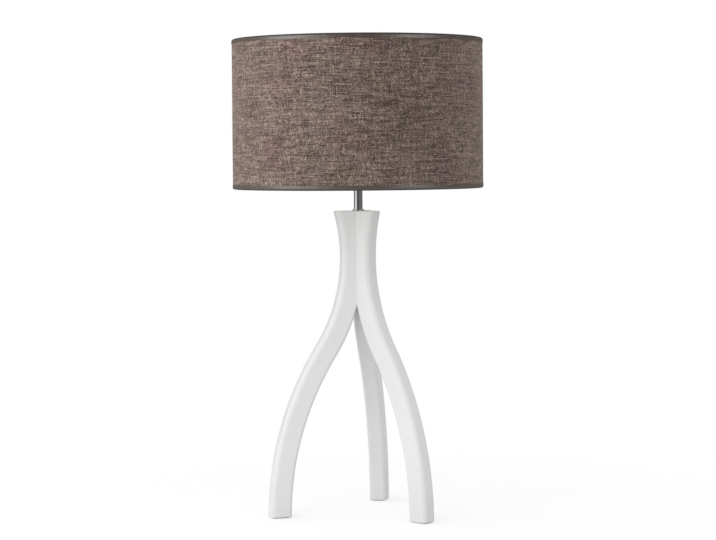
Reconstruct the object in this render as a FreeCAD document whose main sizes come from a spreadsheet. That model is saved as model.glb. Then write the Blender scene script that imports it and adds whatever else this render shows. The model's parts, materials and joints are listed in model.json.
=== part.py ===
import FreeCAD, Part
import math
import os

import Sketcher

# Table lamp: three bent wooden legs mitred into a neck, a chrome stem, a
# screw lampholder with its bulb, and a drum shade of cloth on a stiff film.
# Frame: origin on the lamp's axis at the floor, +Z up, the rear leg along +Y.

doc = FreeCAD.newDocument("table_lamp")

# Driving dimensions in millimetres

SIZES = (
    # Legs: a rectangular bar bent in the plane through the lamp's axis
    ("neck_height", 424.6),
    ("leg_width", 24.0),
    ("leg_thick", 30.0),
    ("foot_spread", 116.7),
    ("waist_drop", 64.6),
    ("waist_spread", 10.6),
    ("upper_bend", 241.0),
    ("outer_round", 7.0),
    ("inner_round", 5.0),
    ("neck_round", 2.0),
    ("foot_round", 1.5),
    # Felt under the feet
    ("pad_thick", 1.0),
    ("pad_margin", 3.5),
    ("pad_corner", 4.0),
    # Dowels across the mitres
    ("dowel_diameter", 5.0),
    ("dowel_length", 14.0),
    ("dowel_seat", 9.8),
    ("dowel_drop", 30.0),
    ("dowel_pitch", 62.0),
    ("glue_gap", 0.05),
    # Hollow threaded tube with its washer, nut and cord bushing
    ("rod_diameter", 10.0),
    ("rod_bore", 8.0),
    ("rod_play", 0.25),
    ("rod_tail", 2.5),
    ("recess_diameter", 18.0),
    ("grip_height", 113.0),
    ("washer_diameter", 17.0),
    ("washer_thick", 1.5),
    ("nut_flats", 14.0),
    ("nut_thick", 3.0),
    ("bushing_diameter", 11.0),
    ("bushing_lip", 1.5),
    ("bushing_length", 8.0),
    ("cord_hole", 6.4),
    # Collar and stem on the neck
    ("collar_diameter", 16.0),
    ("collar_thick", 2.0),
    ("collar_round", 0.5),
    ("stem_diameter", 12.0),
    ("stem_wall", 0.8),
    ("stem_length", 40.0),
    # Lampholder
    ("boss_diameter", 17.0),
    ("boss_height", 9.0),
    ("cap_height", 22.0),
    ("cap_wall", 2.0),
    ("holder_diameter", 39.5),
    ("holder_height", 38.0),
    ("holder_wall", 2.2),
    ("shoulder_diameter", 45.0),
    ("shoulder_thick", 2.4),
    ("thread_pitch", 3.0),
    ("thread_depth", 0.8),
    ("mouth_diameter", 30.4),
    ("mouth_lip", 2.0),
    ("core_thick", 9.0),
    ("core_step", 2.5),
    ("core_play", 0.2),
    ("shell_bore", 26.4),
    ("shell_wall", 0.4),
    ("shell_height", 23.0),
    ("contact_width", 5.0),
    ("contact_length", 14.0),
    ("contact_thick", 0.5),
    ("contact_rise", 2.2),
    ("screw_diameter", 3.0),
    ("screw_head", 5.6),
    ("screw_head_thick", 2.0),
    ("screw_length", 5.0),
    ("terminal_spread", 11.0),
    # Shade ring
    ("ring_diameter", 54.0),
    ("ring_height", 8.0),
    ("ring_chamfer", 1.0),
    ("grip_diameter", 3.0),
    ("running_gap", 0.08),
    ("joint_gap", 0.3),
    # Drum shade
    ("shade_diameter", 350.0),
    ("shade_height", 208.0),
    ("shade_lift", 455.7),
    ("trim_thick", 0.4),
    ("trim_height", 6.5),
    ("fabric_thick", 0.7),
    ("liner_thick", 0.5),
    ("hoop_wire", 3.0),
    ("fold_gap", 0.3),
    # Carrier between the lower hoop and the lampholder
    ("gallery_play", 0.35),
    ("gallery_diameter", 52.0),
    ("gallery_plate", 1.5),
    ("gallery_skirt", 4.0),
    ("arm_wire", 3.0),
    ("arm_knee", 40.0),
    ("arm_bend", 16.0),
    # Bulb
    ("bulb_cap_height", 21.0),
    ("bulb_thread_pitch", 3.63),
    ("bulb_thread_depth", 0.9),
    ("bulb_cap_wall", 0.3),
    ("insulator_height", 3.2),
    ("tip_diameter", 9.0),
    ("tip_height", 1.6),
    ("tip_round", 0.6),
    ("housing_diameter", 28.6),
    ("housing_neck", 6.0),
    ("housing_height", 40.0),
    ("housing_rim", 56.0),
    ("housing_flare", 62.0),
    ("housing_wall", 1.6),
    ("globe_diameter", 60.0),
    ("globe_wall", 1.2),
    ("board_thick", 1.5),
    ("board_ledge", 1.5),
    ("chip_size", 2.8),
    ("chip_thick", 0.7),
    ("chip_circle", 30.0),
    # How far every cut runs past the wood
    ("overrun", 20.0),
)

CHIP_COUNT = 10
GRIP_COUNT = 24
HEX_SIDES = 6
FULL_TURN = 360
TOLERANCE = 1e-4

# The legs stand evenly round the axis, counted anticlockwise from the rear one
LEG_SIDES = ("rear", "left", "right")
LEG_COUNT = len(LEG_SIDES)
LEG_TURN = FULL_TURN // LEG_COUNT
REAR_HEADING = FULL_TURN // 4
LEG_HEADINGS = tuple((side, REAR_HEADING + LEG_TURN * row) for row, side in enumerate(LEG_SIDES))
MITRE_ANGLE = LEG_TURN / 2


class Size:
    """A length: its number, and the words that give it from the sheet."""

    def __init__(self, number, words):
        self.number = number
        self.words = words

    def __add__(self, other):
        return Size(self.number + other.number, f"({self.words} + {other.words})")

    def __sub__(self, other):
        return Size(self.number - other.number, f"({self.words} - {other.words})")

    def __mul__(self, factor):
        if isinstance(factor, Size):
            return Size(self.number * factor.number, f"({self.words} * {factor.words})")
        return Size(self.number * factor, f"({self.words} * {factor!r})")

    def __truediv__(self, factor):
        if isinstance(factor, Size):
            return Size(self.number / factor.number, f"({self.words} / {factor.words})")
        return Size(self.number / factor, f"({self.words} / {factor!r})")

    def __neg__(self):
        return Size(-self.number, f"(-1 * {self.words})")


ZERO = Size(0.0, "0")
UPWARD = Size(1.0, "1")
DOWNWARD = Size(-1.0, "-1")


def root_of(size):
    return Size(math.sqrt(size.number), f"sqrt({size.words})")


def make_sheet(rows):
    """Write the sizes in a sheet and return them by name."""
    sheet = doc.addObject("Spreadsheet::Sheet", "Sizes")
    named = {}
    for row, (name, number) in enumerate(rows, start=1):
        sheet.set(f"A{row}", name)
        sheet.set(f"B{row}", str(number))
        sheet.setAlias(f"B{row}", name)
        named[name] = Size(number, f"Sizes.{name}")
    doc.recompute()
    return named


sizes = make_sheet(SIZES)


# Sketching helpers

def origin_plane(body, role):
    for feature in body.Origin.OriginFeatures:
        if feature.Role == role:
            return feature
    raise ValueError(role)


def new_body(label):
    body = doc.addObject("PartDesign::Body", label)
    body.Label = label
    return body


def new_sketch(body, role, lift=ZERO, turn=0):
    """A sketch on one of the body's own planes, lifted off it and turned about its upright."""
    sketch = body.newObject("Sketcher::SketchObject", body.Name + "_sketch")
    sketch.AttachmentSupport = [(origin_plane(body, role), "")]
    sketch.MapMode = "FlatFace"
    upright = FreeCAD.Rotation(FreeCAD.Vector(0, 1, 0), turn)
    sketch.AttachmentOffset = FreeCAD.Placement(FreeCAD.Vector(0, 0, lift.number), upright)
    if lift is not ZERO:
        sketch.setExpression("AttachmentOffset.Base.z", lift.words)
    return sketch


def bind(target, name, size):
    """Give a feature's length its number, and tie it to the sheet."""
    setattr(target, name, size.number)
    target.setExpression(name, size.words)


def pin_point(sketch, curve, end, across, up):
    """Fix a point of a sketch at its two distances from the origin."""
    for kind, axis, size in (("DistanceX", -2, across), ("DistanceY", -1, up)):
        if size is ZERO:
            sketch.addConstraint(Sketcher.Constraint("PointOnObject", curve, end, axis))
        else:
            row = sketch.addConstraint(Sketcher.Constraint(kind, curve, end, size.number))
            sketch.setExpression(f"Constraints[{row}]", size.words)


def arc_between(start, finish, radius):
    """The short arc of a radius between two points, its centre on the left where the radius is positive."""
    chord = finish - start
    middle = (start + finish) * 0.5
    left = FreeCAD.Vector(-chord.y, chord.x, 0).normalize()
    reach = math.sqrt(max(radius * radius - chord.Length * chord.Length / 4, 0))
    centre = middle + left * math.copysign(reach, radius)
    if radius > 0:
        first, last = start, finish
    else:
        first, last = finish, start
    angles = [math.atan2(point.y - centre.y, point.x - centre.x) for point in (first, last)]
    circle = Part.Circle(centre, FreeCAD.Vector(0, 0, 1), abs(radius))
    return Part.ArcOfCircle(circle, angles[0], angles[1])


def draw_outline(sketch, corners, closed=True):
    """Draw an outline through its corners.

    A corner is (across, up), or (across, up, radius) where an arc leads to the next one.
    """
    ends = []
    points = [FreeCAD.Vector(corner[0].number, corner[1].number, 0) for corner in corners]
    curves = len(corners) if closed else len(corners) - 1
    for index, corner in enumerate(corners[:curves]):
        start = points[index]
        finish = points[(index + 1) % len(points)]
        if len(corner) == 2:
            curve = sketch.addGeometry(Part.LineSegment(start, finish), False)
            ends.append((curve, 1, 2))
            continue
        radius = corner[2]
        curve = sketch.addGeometry(arc_between(start, finish, radius.number), False)
        ends.append((curve, 1, 2) if radius.number > 0 else (curve, 2, 1))
    followers = ends[1:] + ends[:1] if closed else ends[1:]
    for (curve, first, last), follower in zip(ends, followers):
        sketch.addConstraint(Sketcher.Constraint("Coincident", curve, last, follower[0], follower[1]))
    if not closed:
        pin_point(sketch, ends[-1][0], ends[-1][2], corners[-1][0], corners[-1][1])
    for (curve, first, last), corner in zip(ends, corners):
        pin_point(sketch, curve, first, corner[0], corner[1])
        if len(corner) == 3:
            size = corner[2] if corner[2].number > 0 else -corner[2]
            row = sketch.addConstraint(Sketcher.Constraint("Radius", curve, size.number))
            sketch.setExpression(f"Constraints[{row}]", size.words)


def draw_circle(sketch, across, up, radius):
    centre = FreeCAD.Vector(across.number, up.number, 0)
    curve = sketch.addGeometry(Part.Circle(centre, FreeCAD.Vector(0, 0, 1), radius.number), False)
    pin_point(sketch, curve, 3, across, up)
    row = sketch.addConstraint(Sketcher.Constraint("Radius", curve, radius.number))
    sketch.setExpression(f"Constraints[{row}]", radius.words)


def add_pad(body, sketch, length, middle=False):
    pad = body.newObject("PartDesign::Pad", body.Name + "_pad")
    pad.Profile = sketch
    bind(pad, "Length", length)
    if middle:
        pad.SideType = "Symmetric"
    doc.recompute()


def add_pocket(body, sketch, depth, middle=False, upward=False):
    """Cut a sketch out of a body, and stop if the cut removed nothing."""
    before = body.Shape.Volume
    pocket = body.newObject("PartDesign::Pocket", body.Name + "_pocket")
    pocket.Profile = sketch
    bind(pocket, "Length", depth)
    pocket.Reversed = upward
    if middle:
        pocket.SideType = "Symmetric"
    doc.recompute()
    if not body.Shape.Volume < before:
        raise RuntimeError(body.Label + ": a pocket cut nothing")
    return pocket


def add_fillet(body, radius, wanted):
    """Round the edges of the body's last feature that the test wants."""
    base = body.Tip
    names = [f"Edge{row}" for row, edge in enumerate(base.Shape.Edges, start=1) if wanted(edge)]
    fillet = body.newObject("PartDesign::Fillet", body.Name + "_fillet")
    fillet.Base = (base, names)
    bind(fillet, "Radius", radius)
    doc.recompute()


def repeat_round(body, cut, sketch, count):
    """Copy a cut evenly round the lamp's axis."""
    pattern = body.newObject("PartDesign::PolarPattern", body.Name + "_pattern")
    pattern.Originals = [cut]
    pattern.Axis = (sketch, ["N_Axis"])
    pattern.Angle = FULL_TURN
    pattern.Occurrences = count
    body.Tip = pattern
    doc.recompute()


def spin(body, sketch):
    """Turn a sketch all the way round the lamp's axis."""
    feature = body.newObject("PartDesign::Revolution", body.Name + "_turn")
    feature.Profile = sketch
    feature.ReferenceAxis = (sketch, ["V_Axis"])
    feature.Angle = FULL_TURN
    doc.recompute()
    return body


def turned(label, corners):
    """A piece turned about the lamp's axis from its half outline."""
    body = new_body(label)
    sketch = new_sketch(body, "XZ_Plane")
    draw_outline(sketch, corners)
    return spin(body, sketch)


def hoop(label, across, up, wire):
    """A ring of round wire about the lamp's axis."""
    body = new_body(label)
    sketch = new_sketch(body, "XZ_Plane")
    draw_circle(sketch, across, up, wire)
    return spin(body, sketch)


def compound(label, pieces):
    """Identical separate solids that share one file."""
    group = doc.addObject("Part::Compound", label)
    group.Label = label
    group.Links = pieces
    return group


def tube(label, outer, inner, low, high):
    """A plain turned tube or washer between two heights."""
    return turned(label, ((outer, low), (outer, high), (inner, high), (inner, low)))


def turn_body(body, heading):
    body.Placement = FreeCAD.Placement(FreeCAD.Vector(), FreeCAD.Rotation(FreeCAD.Vector(0, 0, 1), heading))


def place(body, spot, rotation=FreeCAD.Rotation()):
    """Put a body at a spot that the sheet gives."""
    body.Placement = FreeCAD.Placement(FreeCAD.Vector(*[size.number for size in spot]), rotation)
    for axis, size in zip("xyz", spot):
        if size is not ZERO:
            body.setExpression("Placement.Base." + axis, size.words)
    return body


# Heights and radii that several pieces share

half_width = sizes["leg_width"] / 2
half_thick = sizes["leg_thick"] / 2
waist_height = sizes["neck_height"] - sizes["waist_drop"]
recess_top = sizes["neck_height"] - sizes["grip_height"]
rod_radius = sizes["rod_diameter"] / 2
washer_low = recess_top - sizes["washer_thick"]
nut_low = washer_low - sizes["nut_thick"]
rod_foot = nut_low - sizes["rod_tail"]
collar_top = sizes["neck_height"] + sizes["collar_thick"]
stem_top = collar_top + sizes["stem_length"]
boss_top = stem_top + sizes["boss_height"]
cap_top = stem_top + sizes["cap_height"]
holder_radius = sizes["holder_diameter"] / 2
holder_top = cap_top + sizes["holder_height"]
shoulder_top = cap_top + sizes["shoulder_thick"]
gallery_low = shoulder_top + sizes["joint_gap"]
gallery_top = gallery_low + sizes["gallery_plate"]
lock_height = stem_top + sizes["screw_head"] / 2 + sizes["joint_gap"]
core_low = cap_top - sizes["core_step"]
core_top = core_low + sizes["core_thick"]
shade_top = sizes["shade_lift"] + sizes["shade_height"]
trim_radius = sizes["shade_diameter"] / 2
fabric_radius = trim_radius - sizes["trim_thick"] - sizes["glue_gap"]
liner_radius = fabric_radius - sizes["fabric_thick"] - sizes["glue_gap"]
liner_inside = liner_radius - sizes["liner_thick"]
hoop_radius = sizes["hoop_wire"] / 2
hoop_centre = liner_inside - sizes["fold_gap"] - hoop_radius
trim_inside = hoop_centre - hoop_radius - sizes["fold_gap"] - sizes["trim_thick"]
fold_radius = (trim_radius - trim_inside) / 2
bulb_radius = sizes["shell_bore"] / 2 - sizes["running_gap"]
tip_low = core_top + sizes["contact_rise"] + sizes["joint_gap"]
insulator_low = tip_low + sizes["tip_height"] + sizes["glue_gap"]
bulb_cap_low = insulator_low + sizes["insulator_height"]
housing_low = bulb_cap_low + sizes["bulb_cap_height"]
housing_top = housing_low + sizes["housing_height"]


# Wooden legs

def leg_corners():
    """The leg's outline in its own radial plane: two bends that meet in a smooth curve.

    The lower bend is upright at the floor, and the upper one is upright at the waist.
    Above the waist the inner side runs straight up, where the mitres need the wood.
    """
    spread = sizes["foot_spread"] - sizes["waist_spread"]
    bends = (spread * spread + waist_height * waist_height) / (spread * 2)
    upper = sizes["upper_bend"]
    lower = bends - upper
    meeting_across = sizes["foot_spread"] - lower + (bends - spread) / bends * lower
    meeting_up = waist_height * (lower / bends)
    lean_across = (bends - spread) / bends * half_thick
    lean_up = waist_height / bends * half_thick
    foot = sizes["pad_thick"]

    def on_circle(centre, radius, height, side):
        """The distance from the axis where a circle reaches a height."""
        drop = height - centre[1]
        number = math.sqrt(radius.number ** 2 - drop.number ** 2) * side
        words = f"({side} * sqrt({radius.words}^2 - {drop.words}^2))"
        return centre[0] + Size(number, words)

    lower_centre = (sizes["foot_spread"] - lower, ZERO)
    upper_centre = (sizes["waist_spread"] + upper, waist_height)
    lower_outer = lower + half_thick
    lower_inner = lower - half_thick
    upper_outer = upper - half_thick
    upper_inner = upper + half_thick
    inside = sizes["waist_spread"] - half_thick
    return (
        (on_circle(lower_centre, lower_outer, foot, 1), foot, lower_outer),
        (meeting_across + lean_across, meeting_up + lean_up, -upper_outer),
        (on_circle(upper_centre, upper_outer, sizes["neck_height"], -1), sizes["neck_height"]),
        (inside, sizes["neck_height"]),
        (inside, waist_height, upper_inner),
        (meeting_across - lean_across, meeting_up - lean_up, -lower_inner),
        (on_circle(lower_centre, lower_inner, foot, 1), foot),
    )


def middle_point(edge):
    return edge.valueAt((edge.FirstParameter + edge.LastParameter) / 2)


def make_leg(side, heading):
    body = new_body("leg_" + side)
    sketch = new_sketch(body, "XZ_Plane")
    corners = leg_corners()
    draw_outline(sketch, corners)
    add_pad(body, sketch, sizes["leg_width"], middle=True)

    def same(number, size):
        return abs(number - size.number) < TOLERANCE

    def on_side(edge):
        return all(same(abs(vertex.Y), half_width) for vertex in edge.Vertexes)

    def bend_radius(edge):
        return edge.Curve.Radius if hasattr(edge.Curve, "Radius") else 0

    outer_radii = (corners[0][2], -corners[1][2])
    inner_radii = (corners[4][2], -corners[5][2])

    def long_edge(edge, radii):
        return on_side(edge) and any(same(bend_radius(edge), radius) for radius in radii)

    add_fillet(body, sizes["outer_round"], lambda edge: long_edge(edge, outer_radii))
    add_fillet(body, sizes["inner_round"], lambda edge: long_edge(edge, inner_radii))

    def at_height(edge, height):
        return all(same(vertex.Z, height) for vertex in edge.Vertexes)

    add_fillet(body, sizes["neck_round"],
               lambda edge: at_height(edge, sizes["neck_height"]) and middle_point(edge).x > 0)

    # The two mitre planes meet on the lamp's axis
    reach = half_width + sizes["overrun"]
    across = reach / math.tan(math.radians(MITRE_ANGLE))
    back = -(half_thick + sizes["overrun"])
    mitre = new_sketch(body, "XY_Plane")
    draw_outline(mitre, ((ZERO, ZERO), (across, reach), (back, reach), (back, -reach), (across, -reach)))
    add_pocket(body, mitre, sizes["neck_height"] + sizes["overrun"], upward=True)

    # Bore for the threaded tube, and the wider recess drilled up into the crotch
    bore = new_sketch(body, "XY_Plane")
    draw_circle(bore, ZERO, ZERO, rod_radius + sizes["rod_play"])
    add_pocket(body, bore, sizes["neck_height"] + sizes["overrun"], upward=True)
    recess = new_sketch(body, "XY_Plane")
    draw_circle(recess, ZERO, ZERO, sizes["recess_diameter"] / 2)
    add_pocket(body, recess, recess_top, upward=True)
    add_fillet(body, sizes["foot_round"], lambda edge: at_height(edge, sizes["pad_thick"]))

    # Half of each dowel hole lies in this leg
    for turn in (MITRE_ANGLE, -MITRE_ANGLE):
        holes = new_sketch(body, "XZ_Plane", turn=turn)
        for height in dowel_heights():
            draw_circle(holes, sizes["dowel_seat"], height, sizes["dowel_diameter"] / 2 + sizes["glue_gap"])
        add_pocket(body, holes, sizes["dowel_length"] + sizes["glue_gap"] * 2, middle=True)
    turn_body(body, heading)
    return body


def dowel_heights():
    upper = sizes["neck_height"] - sizes["dowel_drop"]
    return (upper, upper - sizes["dowel_pitch"])


def make_dowels():
    """Six short dowels, each square across a mitre."""
    dowels = []
    for side, heading in LEG_HEADINGS:
        for height in dowel_heights():
            dowel = doc.addObject("Part::Cylinder", "dowel")
            bind(dowel, "Radius", sizes["dowel_diameter"] / 2)
            bind(dowel, "Height", sizes["dowel_length"])
            swing = math.radians(heading + MITRE_ANGLE)
            along = FreeCAD.Vector(-math.sin(swing), math.cos(swing), 0)
            start_across = sizes["dowel_seat"] * math.cos(swing) - sizes["dowel_length"] / 2 * along.x
            start_along = sizes["dowel_seat"] * math.sin(swing) - sizes["dowel_length"] / 2 * along.y
            dowel.Placement = FreeCAD.Placement(
                FreeCAD.Vector(start_across.number, start_along.number, height.number),
                FreeCAD.Rotation(FreeCAD.Vector(0, 0, 1), along))
            dowel.setExpression("Placement.Base.x", start_across.words)
            dowel.setExpression("Placement.Base.y", start_along.words)
            dowel.setExpression("Placement.Base.z", height.words)
            dowels.append(dowel)
    return compound("leg_dowels", dowels)


def make_foot_pad(side, heading):
    body = new_body("foot_pad_" + side)
    sketch = new_sketch(body, "XY_Plane")
    near = sizes["foot_spread"] - half_thick + sizes["pad_margin"]
    far = sizes["foot_spread"] + half_thick - sizes["pad_margin"]
    edge = half_width - sizes["pad_margin"]
    draw_outline(sketch, ((near, -edge), (far, -edge), (far, edge), (near, edge)))
    add_pad(body, sketch, sizes["pad_thick"])
    add_fillet(body, sizes["pad_corner"], lambda line: line.Vertexes[0].Z != line.Vertexes[-1].Z)
    turn_body(body, heading)
    return body


# Hollow threaded tube with what clamps it

def make_nut():
    body = new_body("crotch_nut")
    sketch = new_sketch(body, "XY_Plane", lift=nut_low)
    corner = sizes["nut_flats"] / 2 / math.cos(math.pi / HEX_SIDES)
    corners = []
    for step in range(HEX_SIDES):
        angle = math.radians(step * FULL_TURN / HEX_SIDES)
        up = ZERO if step % (HEX_SIDES // 2) == 0 else corner * math.sin(angle)
        corners.append((corner * math.cos(angle), up))
    draw_outline(sketch, corners)
    draw_circle(sketch, ZERO, ZERO, rod_radius + sizes["glue_gap"])
    add_pad(body, sketch, sizes["nut_thick"])
    return body


def make_rod_parts():
    bore_radius = sizes["rod_bore"] / 2
    rod = tube("threaded_tube", rod_radius, bore_radius, rod_foot, boss_top)
    washer_radius = sizes["washer_diameter"] / 2
    washer = tube("crotch_washer", washer_radius, rod_radius + sizes["rod_play"], washer_low, recess_top)
    lip_radius = sizes["bushing_diameter"] / 2
    barrel_radius = bore_radius - sizes["glue_gap"]
    hole_radius = sizes["cord_hole"] / 2
    lip_low = rod_foot - sizes["bushing_lip"]
    lip_round = sizes["bushing_lip"] / 2
    bushing = turned("cord_bushing", (
        (hole_radius + lip_round, lip_low),
        (lip_radius, lip_low),
        (lip_radius, rod_foot),
        (barrel_radius, rod_foot),
        (barrel_radius, lip_low + sizes["bushing_length"]),
        (hole_radius, lip_low + sizes["bushing_length"]),
        (hole_radius, lip_low + lip_round),
    ))
    return [rod, washer, make_nut(), bushing]


# Collar and stem

def make_stem():
    edge = sizes["collar_round"]
    outer = sizes["collar_diameter"] / 2
    collar = turned("stem_collar", (
        (outer, sizes["neck_height"]),
        (outer, collar_top - edge, edge),
        (outer - edge, collar_top),
        (rod_radius + sizes["rod_play"], collar_top),
        (rod_radius + sizes["rod_play"], sizes["neck_height"]),
    ))
    stem_radius = sizes["stem_diameter"] / 2
    stem = tube("stem_tube", stem_radius, stem_radius - sizes["stem_wall"], collar_top, stem_top)
    return [collar, stem]


# Lampholder

def make_holder_cap():
    """A funnel shell on a threaded boss, with a hole behind for its lock screw."""
    boss = sizes["boss_diameter"] / 2
    wall = sizes["cap_wall"]
    inner = rod_radius + sizes["glue_gap"]
    body = turned("holder_cap", (
        (inner, stem_top),
        (boss, stem_top),
        (boss, boss_top - wall),
        (holder_radius - wall, boss_top + wall),
        (holder_radius, boss_top + wall * 2),
        (holder_radius, cap_top),
        (holder_radius - wall, cap_top),
        (holder_radius - wall, boss_top + wall * 3),
        (boss - wall, boss_top),
        (inner, boss_top),
    ))
    hole = new_sketch(body, "XZ_Plane")
    draw_circle(hole, ZERO, lock_height, sizes["screw_diameter"] / 2 + sizes["glue_gap"])
    add_pocket(body, hole, boss + sizes["overrun"])
    return body


def make_holder_body():
    """A shell with a shoulder below, a coarse outer thread and a mouth lip above."""
    inner = holder_radius - sizes["holder_wall"]
    root = holder_radius - sizes["thread_depth"]
    pitch = sizes["thread_pitch"]
    corners = [
        (sizes["shoulder_diameter"] / 2, cap_top),
        (sizes["shoulder_diameter"] / 2, shoulder_top),
        (holder_radius, shoulder_top),
    ]
    turns = int((sizes["holder_height"] - sizes["shoulder_thick"]).number // pitch.number) - 1
    height = shoulder_top + pitch
    for _ in range(turns):
        corners.append((holder_radius, height - pitch / 4))
        corners.append((root, height))
        corners.append((root, height + pitch / 4))
        corners.append((holder_radius, height + pitch / 2))
        height = height + pitch
    corners += [
        (holder_radius, holder_top),
        (sizes["mouth_diameter"] / 2, holder_top),
        (sizes["mouth_diameter"] / 2, holder_top - sizes["mouth_lip"]),
        (inner, holder_top - sizes["mouth_lip"]),
        (inner, cap_top),
    ]
    return turned("holder_body", corners)


def make_holder_core():
    """The insulating core: a well holds the screw shell, and the terminal screws enter below."""
    radius = holder_radius - sizes["holder_wall"] - sizes["core_play"]
    shell_seat = sizes["shell_bore"] / 2 + sizes["shell_wall"] + sizes["glue_gap"]
    body = turned("holder_core", (
        (ZERO, core_low),
        (radius, core_low),
        (radius, core_top + sizes["core_step"]),
        (shell_seat, core_top + sizes["core_step"]),
        (shell_seat, core_top),
        (ZERO, core_top),
    ))
    holes = new_sketch(body, "XY_Plane")
    for across in (sizes["terminal_spread"], -sizes["terminal_spread"]):
        draw_circle(holes, across, ZERO, sizes["screw_diameter"] / 2 + sizes["glue_gap"])
    add_pocket(body, holes, core_low + sizes["screw_length"] + sizes["glue_gap"], upward=True)
    return body


def make_screw_shell():
    bore = sizes["shell_bore"] / 2
    wall = sizes["shell_wall"]
    return turned("screw_shell", (
        (bore - wall * 4, core_top),
        (bore + wall, core_top),
        (bore + wall, core_top + sizes["shell_height"]),
        (bore, core_top + sizes["shell_height"]),
        (bore, core_top + wall),
        (bore - wall * 4, core_top + wall),
    ))


def make_centre_contact():
    """A springy strip: flat on the core, bent up and back over to press the bulb's tip."""
    body = new_body("centre_contact")
    sketch = new_sketch(body, "XZ_Plane")
    thick = sizes["contact_thick"]
    half = sizes["contact_length"] / 2
    top = core_top + sizes["contact_rise"]
    draw_outline(sketch, (
        (-half, core_top),
        (half, core_top),
        (half, top),
        (-half / 2, top),
        (-half / 2, top - thick),
        (half - thick, top - thick),
        (half - thick, core_top + thick),
        (-half, core_top + thick),
    ))
    add_pad(body, sketch, sizes["contact_width"], middle=True)
    return body


def make_screw(label, length):
    """A cheese head screw that stands on its head at the origin."""
    shank = sizes["screw_diameter"] / 2
    head = sizes["screw_head"] / 2
    tall = sizes["screw_head_thick"]
    return turned(label, (
        (ZERO, ZERO),
        (head, ZERO),
        (head, tall),
        (shank, tall),
        (shank, tall + length),
        (ZERO, tall + length),
    ))


def make_terminal_screws():
    screws = []
    for across in (sizes["terminal_spread"], -sizes["terminal_spread"]):
        screw = make_screw("terminal_screw", sizes["screw_length"])
        screws.append(place(screw, (across, ZERO, core_low - sizes["screw_head_thick"])))
    return compound("terminal_screws", screws)


def make_lock_screw():
    """It enters the cap's boss from behind and bears on the threaded tube."""
    length = sizes["boss_diameter"] / 2 - rod_radius - sizes["glue_gap"]
    head_face = sizes["boss_diameter"] / 2 + sizes["screw_head_thick"]
    screw = make_screw("holder_lock_screw", length)
    forward = FreeCAD.Rotation(FreeCAD.Vector(0, 0, 1), FreeCAD.Vector(0, -1, 0))
    return place(screw, (ZERO, head_face, lock_height), forward)


def make_shade_ring():
    """The threaded ring that clamps the shade: chamfered, with grip notches round its rim."""
    outer = sizes["ring_diameter"] / 2
    inner = holder_radius + sizes["running_gap"]
    low = gallery_top + sizes["joint_gap"]
    high = low + sizes["ring_height"]
    edge = sizes["ring_chamfer"]
    body = turned("shade_ring", (
        (inner, low),
        (outer - edge, low),
        (outer, low + edge),
        (outer, high - edge),
        (outer - edge, high),
        (inner, high),
    ))
    sketch = new_sketch(body, "XY_Plane")
    draw_circle(sketch, outer, ZERO, sizes["grip_diameter"] / 2)
    notch = add_pocket(body, sketch, high + sizes["overrun"], upward=True)
    repeat_round(body, notch, sketch, GRIP_COUNT)
    return body


def make_holder():
    return [
        make_holder_cap(),
        make_holder_body(),
        make_holder_core(),
        make_screw_shell(),
        make_centre_contact(),
        make_terminal_screws(),
        make_lock_screw(),
        make_shade_ring(),
    ]


# Drum shade

def make_trim(label, edge, inward):
    """A tape folded over a rim of the drum, from its outside to inside the hoop."""
    thick = sizes["trim_thick"]
    inner_fold = fold_radius - thick
    top = edge + inward * thick
    turn = edge + inward * fold_radius
    hem = edge + inward * sizes["trim_height"]
    middle = trim_radius - fold_radius
    bend = fold_radius * -inward.number
    inner_bend = inner_fold * inward.number
    return turned(label, (
        (trim_radius, hem),
        (trim_radius, turn, bend),
        (middle, edge, bend),
        (trim_inside, turn),
        (trim_inside, hem),
        (trim_inside + thick, hem),
        (trim_inside + thick, turn, inner_bend),
        (middle, top, inner_bend),
        (trim_radius - thick, turn),
        (trim_radius - thick, hem),
    ))


def make_lower_trim():
    """The lower rim's tape, notched inside where the three arms reach the hoop."""
    body = make_trim("lower_trim", sizes["shade_lift"], UPWARD)
    half = sizes["arm_wire"] / 2 + sizes["fold_gap"]
    sketch = new_sketch(body, "XY_Plane", lift=sizes["shade_lift"] + fold_radius - half)
    near = trim_inside - sizes["fold_gap"]
    far = trim_inside + sizes["trim_thick"] + sizes["fold_gap"]
    draw_outline(sketch, ((near, -half), (far, -half), (far, half), (near, half)))
    notch = add_pocket(body, sketch, sizes["trim_height"], upward=True)
    repeat_round(body, notch, sketch, LEG_COUNT)
    turn_body(body, REAR_HEADING)
    return body


def make_arm(side, heading):
    """A wire from the gallery ring, level at first, then down to the lower hoop."""
    body = new_body("fitter_arm_" + side)
    start = sizes["gallery_diameter"] / 2 + sizes["fold_gap"]
    level = gallery_top - sizes["gallery_skirt"] / 2
    hoop_level = sizes["shade_lift"] + fold_radius
    run = hoop_centre - sizes["arm_knee"]
    drop = level - hoop_level
    slope = root_of(run * run + drop * drop)
    bend = sizes["arm_bend"]
    tangent = bend * ((slope - run) / drop)
    stop = hoop_radius + sizes["fold_gap"]
    path = new_sketch(body, "XZ_Plane")
    draw_outline(path, (
        (start, level),
        (sizes["arm_knee"] - tangent, level, -bend),
        (sizes["arm_knee"] + run / slope * tangent, level - drop / slope * tangent),
        (hoop_centre - run / slope * stop, hoop_level + drop / slope * stop),
    ), closed=False)
    wire = new_sketch(body, "YZ_Plane", lift=start)
    draw_circle(wire, ZERO, level, sizes["arm_wire"] / 2)
    pipe = body.newObject("PartDesign::AdditivePipe", body.Name + "_pipe")
    pipe.Profile = wire
    pipe.Spine = (path, ["Edge1", "Edge2", "Edge3"])
    doc.recompute()
    turn_body(body, heading)
    return body


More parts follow.
